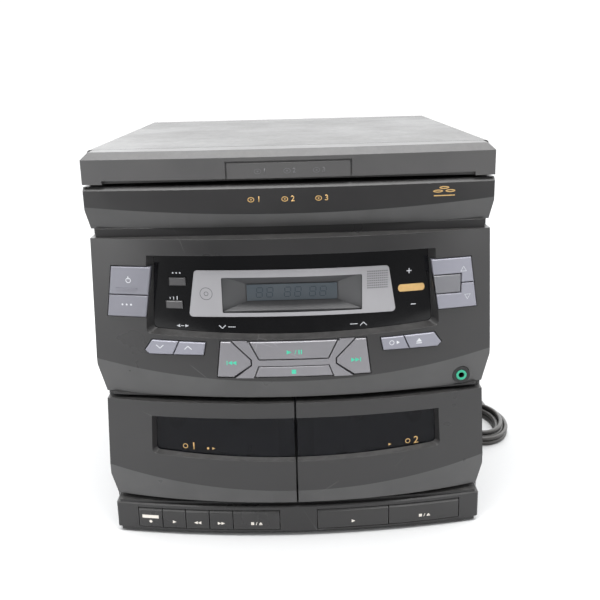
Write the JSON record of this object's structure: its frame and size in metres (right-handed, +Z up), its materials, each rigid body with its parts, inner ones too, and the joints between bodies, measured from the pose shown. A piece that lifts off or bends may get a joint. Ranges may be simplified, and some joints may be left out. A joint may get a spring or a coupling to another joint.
{
  "type": "mini music system with disc changer",
  "caption": "One-piece mini music system: drawer disc changer on top, tuner and display below it, twin cassette deck at the foot, mains lead coiled beside it.",
  "frame": {"origin": "bottom centre of the set without its mains lead, on the surface it stands on", "axes": "+X to the right seen from the front, +Y to the back, +Z up"},
  "size_m": [0.3317, 0.4102, 0.276],
  "materials": {
    "cover_paint": "textured charcoal paint",
    "front_plastic": "fine-grained charcoal moulding",
    "black_plastic": "plain black moulding",
    "plate_steel": "plated sheet",
    "feet_rubber": "soft black",
    "tinted_clear": "smoked clear plastic, polished",
    "silver_paint": "satin silver",
    "button_plastic": "satin violet grey",
    "trim_plastic": "dark satin",
    "key_plastic": "satin black",
    "white_gear": "natural white acetal",
    "dark_metal": "machined",
    "core_steel": "varnished laminations and winding",
    "lead_pvc": "soft black sheath"
  },
  "bodies": {
    "cabinet": {"bottom_chassis": "plate_steel", "changer_deck": "plate_steel", "changer_fascia": "front_plastic", "clamp_bridge": "black_plastic", "cord_coil": "lead_pvc", "cord_tail": "lead_pvc", "deck_frame": "black_plastic", "deck_plate": "plate_steel", "display_plate": "silver_paint", "display_window": "tinted_clear", "feet": "feet_rubber", "key_bezel": "front_plastic", "lcd_panel": "black_plastic", "mains_cord": "lead_pvc", "mains_plug": "lead_pvc", "phones_jack": "black_plastic", "rear_panel": "plate_steel", "speaker_terminals": "black_plastic", "strain_relief": "lead_pvc", "top_cover": "cover_paint", "transformer": "core_steel", "transport_trim": "trim_plastic", "tuner_fascia": "front_plastic"},
    "drawer": {"drawer_front": "front_plastic", "drawer_tray": "black_plastic"},
    "carousel": {"carousel": "black_plastic"},
    "loading_gear": {"loading_gear": "white_gear"},
    "disc_spindle": {"disc_spindle": "dark_metal"},
    "pickup_sled": {"pickup_sled": "dark_metal"},
    "disc_clamp": {"disc_clamp": "white_gear"},
    "reel_takeup_1": {"reel_takeup_1": "white_gear"},
    "reel_supply_1": {"reel_supply_1": "white_gear"},
    "reel_supply_2": {"reel_supply_2": "white_gear"},
    "reel_takeup_2": {"reel_takeup_2": "white_gear"},
    "door_1": {"tape_door_1": "front_plastic", "door_window_1": "tinted_clear"},
    "door_2": {"tape_door_2": "front_plastic", "door_window_2": "tinted_clear"},
    "power_button": {"power_button": "button_plastic"},
    "function_button": {"function_button": "button_plastic"},
    "memory_button": {"memory_button": "button_plastic"},
    "band_button": {"band_button": "button_plastic"},
    "tuning_up_button": {"tuning_up_button": "button_plastic"},
    "tuning_down_button": {"tuning_down_button": "button_plastic"},
    "disc_skip_button": {"disc_skip_button": "button_plastic"},
    "open_close_button": {"open_close_button": "button_plastic"},
    "skip_back_button": {"skip_back_button": "button_plastic"},
    "skip_forward_button": {"skip_forward_button": "button_plastic"},
    "play_button": {"play_button": "button_plastic"},
    "stop_button": {"stop_button": "button_plastic"},
    "volume_up_button": {"volume_up_button": "button_plastic"},
    "volume_down_button": {"volume_down_button": "button_plastic"},
    "bass_button": {"bass_button": "button_plastic"},
    "record_key": {"record_key": "key_plastic"},
    "play_key_1": {"play_key_1": "key_plastic"},
    "rewind_key": {"rewind_key": "key_plastic"},
    "fast_forward_key": {"fast_forward_key": "key_plastic"},
    "stop_eject_key_1": {"stop_eject_key_1": "key_plastic"},
    "play_key_2": {"play_key_2": "key_plastic"},
    "stop_eject_key_2": {"stop_eject_key_2": "key_plastic"}
  },
  "joints": [
    {"name": "drawer_slide", "type": "slide", "parent": "cabinet", "child": "drawer", "axis": [0, -1, 0], "range_m": [0, 0.2]},
    {"name": "carousel_turn", "type": "hinge", "parent": "drawer", "child": "carousel", "pos_m": [0, 0.0071, 0.262], "axis": [0, 0, 1], "continuous": true},
    {"name": "loading_gear_turn", "type": "hinge", "parent": "cabinet", "child": "loading_gear", "pos_m": [-0.106, -0.0974, 0.2555], "axis": [0, 0, 1], "range_deg": [-5, 860]},
    {"name": "disc_spindle_turn", "type": "hinge", "parent": "cabinet", "child": "disc_spindle", "pos_m": [0, 0.0767, 0.25], "axis": [0, 0, 1], "continuous": true},
    {"name": "disc_clamp_turn", "type": "hinge", "parent": "cabinet", "child": "disc_clamp", "pos_m": [0, 0.0767, 0.269], "axis": [0, 0, 1], "continuous": true},
    {"name": "pickup_slide", "type": "slide", "parent": "cabinet", "child": "pickup_sled", "axis": [0, 1, 0], "range_m": [0, 0.03]},
    {"name": "reel_takeup_1_turn", "type": "hinge", "parent": "cabinet", "child": "reel_takeup_1", "pos_m": [-0.04375, -0.1224, 0.08], "axis": [0, 1, 0], "continuous": true},
    {"name": "reel_supply_1_turn", "type": "hinge", "parent": "cabinet", "child": "reel_supply_1", "pos_m": [-0.08625, -0.1224, 0.08], "axis": [0, 1, 0], "continuous": true},
    {"name": "reel_supply_2_turn", "type": "hinge", "parent": "cabinet", "child": "reel_supply_2", "pos_m": [0.04375, -0.1224, 0.08], "axis": [0, 1, 0], "continuous": true},
    {"name": "reel_takeup_2_turn", "type": "hinge", "parent": "cabinet", "child": "reel_takeup_2", "pos_m": [0.08625, -0.1224, 0.08], "axis": [0, 1, 0], "continuous": true},
    {"name": "tape_door_1_hinge", "type": "hinge", "parent": "cabinet", "child": "door_1", "pos_m": [-0.043, -0.1474, 0.0325], "axis": [1, 0, 0], "range_deg": [0, 25]},
    {"name": "tape_door_2_hinge", "type": "hinge", "parent": "cabinet", "child": "door_2", "pos_m": [0.043, -0.1474, 0.0325], "axis": [1, 0, 0], "range_deg": [0, 25]},
    {"name": "power_button_press", "type": "slide", "parent": "cabinet", "child": "power_button", "axis": [0, 1, 0], "range_m": [0, 0.0015], "stiffness_N_per_m": 400},
    {"name": "function_button_press", "type": "slide", "parent": "cabinet", "child": "function_button", "axis": [0, 1, 0], "range_m": [0, 0.0015], "stiffness_N_per_m": 400},
    {"name": "memory_button_press", "type": "slide", "parent": "cabinet", "child": "memory_button", "axis": [0, 1, 0], "range_m": [0, 0.0015], "stiffness_N_per_m": 400},
    {"name": "band_button_press", "type": "slide", "parent": "cabinet", "child": "band_button", "axis": [0, 1, 0], "range_m": [0, 0.0015], "stiffness_N_per_m": 400},
    {"name": "tuning_up_button_press", "type": "slide", "parent": "cabinet", "child": "tuning_up_button", "axis": [0, 1, 0], "range_m": [0, 0.0015], "stiffness_N_per_m": 400},
    {"name": "tuning_down_button_press", "type": "slide", "parent": "cabinet", "child": "tuning_down_button", "axis": [0, 1, 0], "range_m": [0, 0.0015], "stiffness_N_per_m": 400},
    {"name": "disc_skip_button_press", "type": "slide", "parent": "cabinet", "child": "disc_skip_button", "axis": [0, 1, 0], "range_m": [0, 0.0015], "stiffness_N_per_m": 400},
    {"name": "open_close_button_press", "type": "slide", "parent": "cabinet", "child": "open_close_button", "axis": [0, 1, 0], "range_m": [0, 0.0015], "stiffness_N_per_m": 400},
    {"name": "skip_back_button_press", "type": "slide", "parent": "cabinet", "child": "skip_back_button", "axis": [0, 1, 0], "range_m": [0, 0.0015], "stiffness_N_per_m": 400},
    {"name": "skip_forward_button_press", "type": "slide", "parent": "cabinet", "child": "skip_forward_button", "axis": [0, 1, 0], "range_m": [0, 0.0015], "stiffness_N_per_m": 400},
    {"name": "play_button_press", "type": "slide", "parent": "cabinet", "child": "play_button", "axis": [0, 1, 0], "range_m": [0, 0.0015], "stiffness_N_per_m": 400},
    {"name": "stop_button_press", "type": "slide", "parent": "cabinet", "child": "stop_button", "axis": [0, 1, 0], "range_m": [0, 0.0015], "stiffness_N_per_m": 400},
    {"name": "volume_up_button_press", "type": "slide", "parent": "cabinet", "child": "volume_up_button", "axis": [0, 1, 0], "range_m": [0, 0.0015], "stiffness_N_per_m": 400},
    {"name": "volume_down_button_press", "type": "slide", "parent": "cabinet", "child": "volume_down_button", "axis": [0, 1, 0], "range_m": [0, 0.0015], "stiffness_N_per_m": 400},
    {"name": "bass_button_press", "type": "slide", "parent": "cabinet", "child": "bass_button", "axis": [0, 1, 0], "range_m": [0, 0.0015], "stiffness_N_per_m": 400},
    {"name": "record_key_press", "type": "slide", "parent": "cabinet", "child": "record_key", "axis": [0, 1, 0], "range_m": [0, 0.003], "stiffness_N_per_m": 500},
    {"name": "play_key_1_press", "type": "slide", "parent": "cabinet", "child": "play_key_1", "axis": [0, 1, 0], "range_m": [0, 0.003], "stiffness_N_per_m": 500},
    {"name": "rewind_key_press", "type": "slide", "parent": "cabinet", "child": "rewind_key", "axis": [0, 1, 0], "range_m": [0, 0.003], "stiffness_N_per_m": 500},
    {"name": "fast_forward_key_press", "type": "slide", "parent": "cabinet", "child": "fast_forward_key", "axis": [0, 1, 0], "range_m": [0, 0.003], "stiffness_N_per_m": 500},
    {"name": "stop_eject_key_1_press", "type": "slide", "parent": "cabinet", "child": "stop_eject_key_1", "axis": [0, 1, 0], "range_m": [0, 0.003], "stiffness_N_per_m": 500},
    {"name": "play_key_2_press", "type": "slide", "parent": "cabinet", "child": "play_key_2", "axis": [0, 1, 0], "range_m": [0, 0.003], "stiffness_N_per_m": 500},
    {"name": "stop_eject_key_2_press", "type": "slide", "parent": "cabinet", "child": "stop_eject_key_2", "axis": [0, 1, 0], "range_m": [0, 0.003], "stiffness_N_per_m": 500}
  ],
  "couplings": [
    {"joint": "loading_gear_turn", "follows": "drawer_slide", "rad_per_m": 74.074}
  ]
}
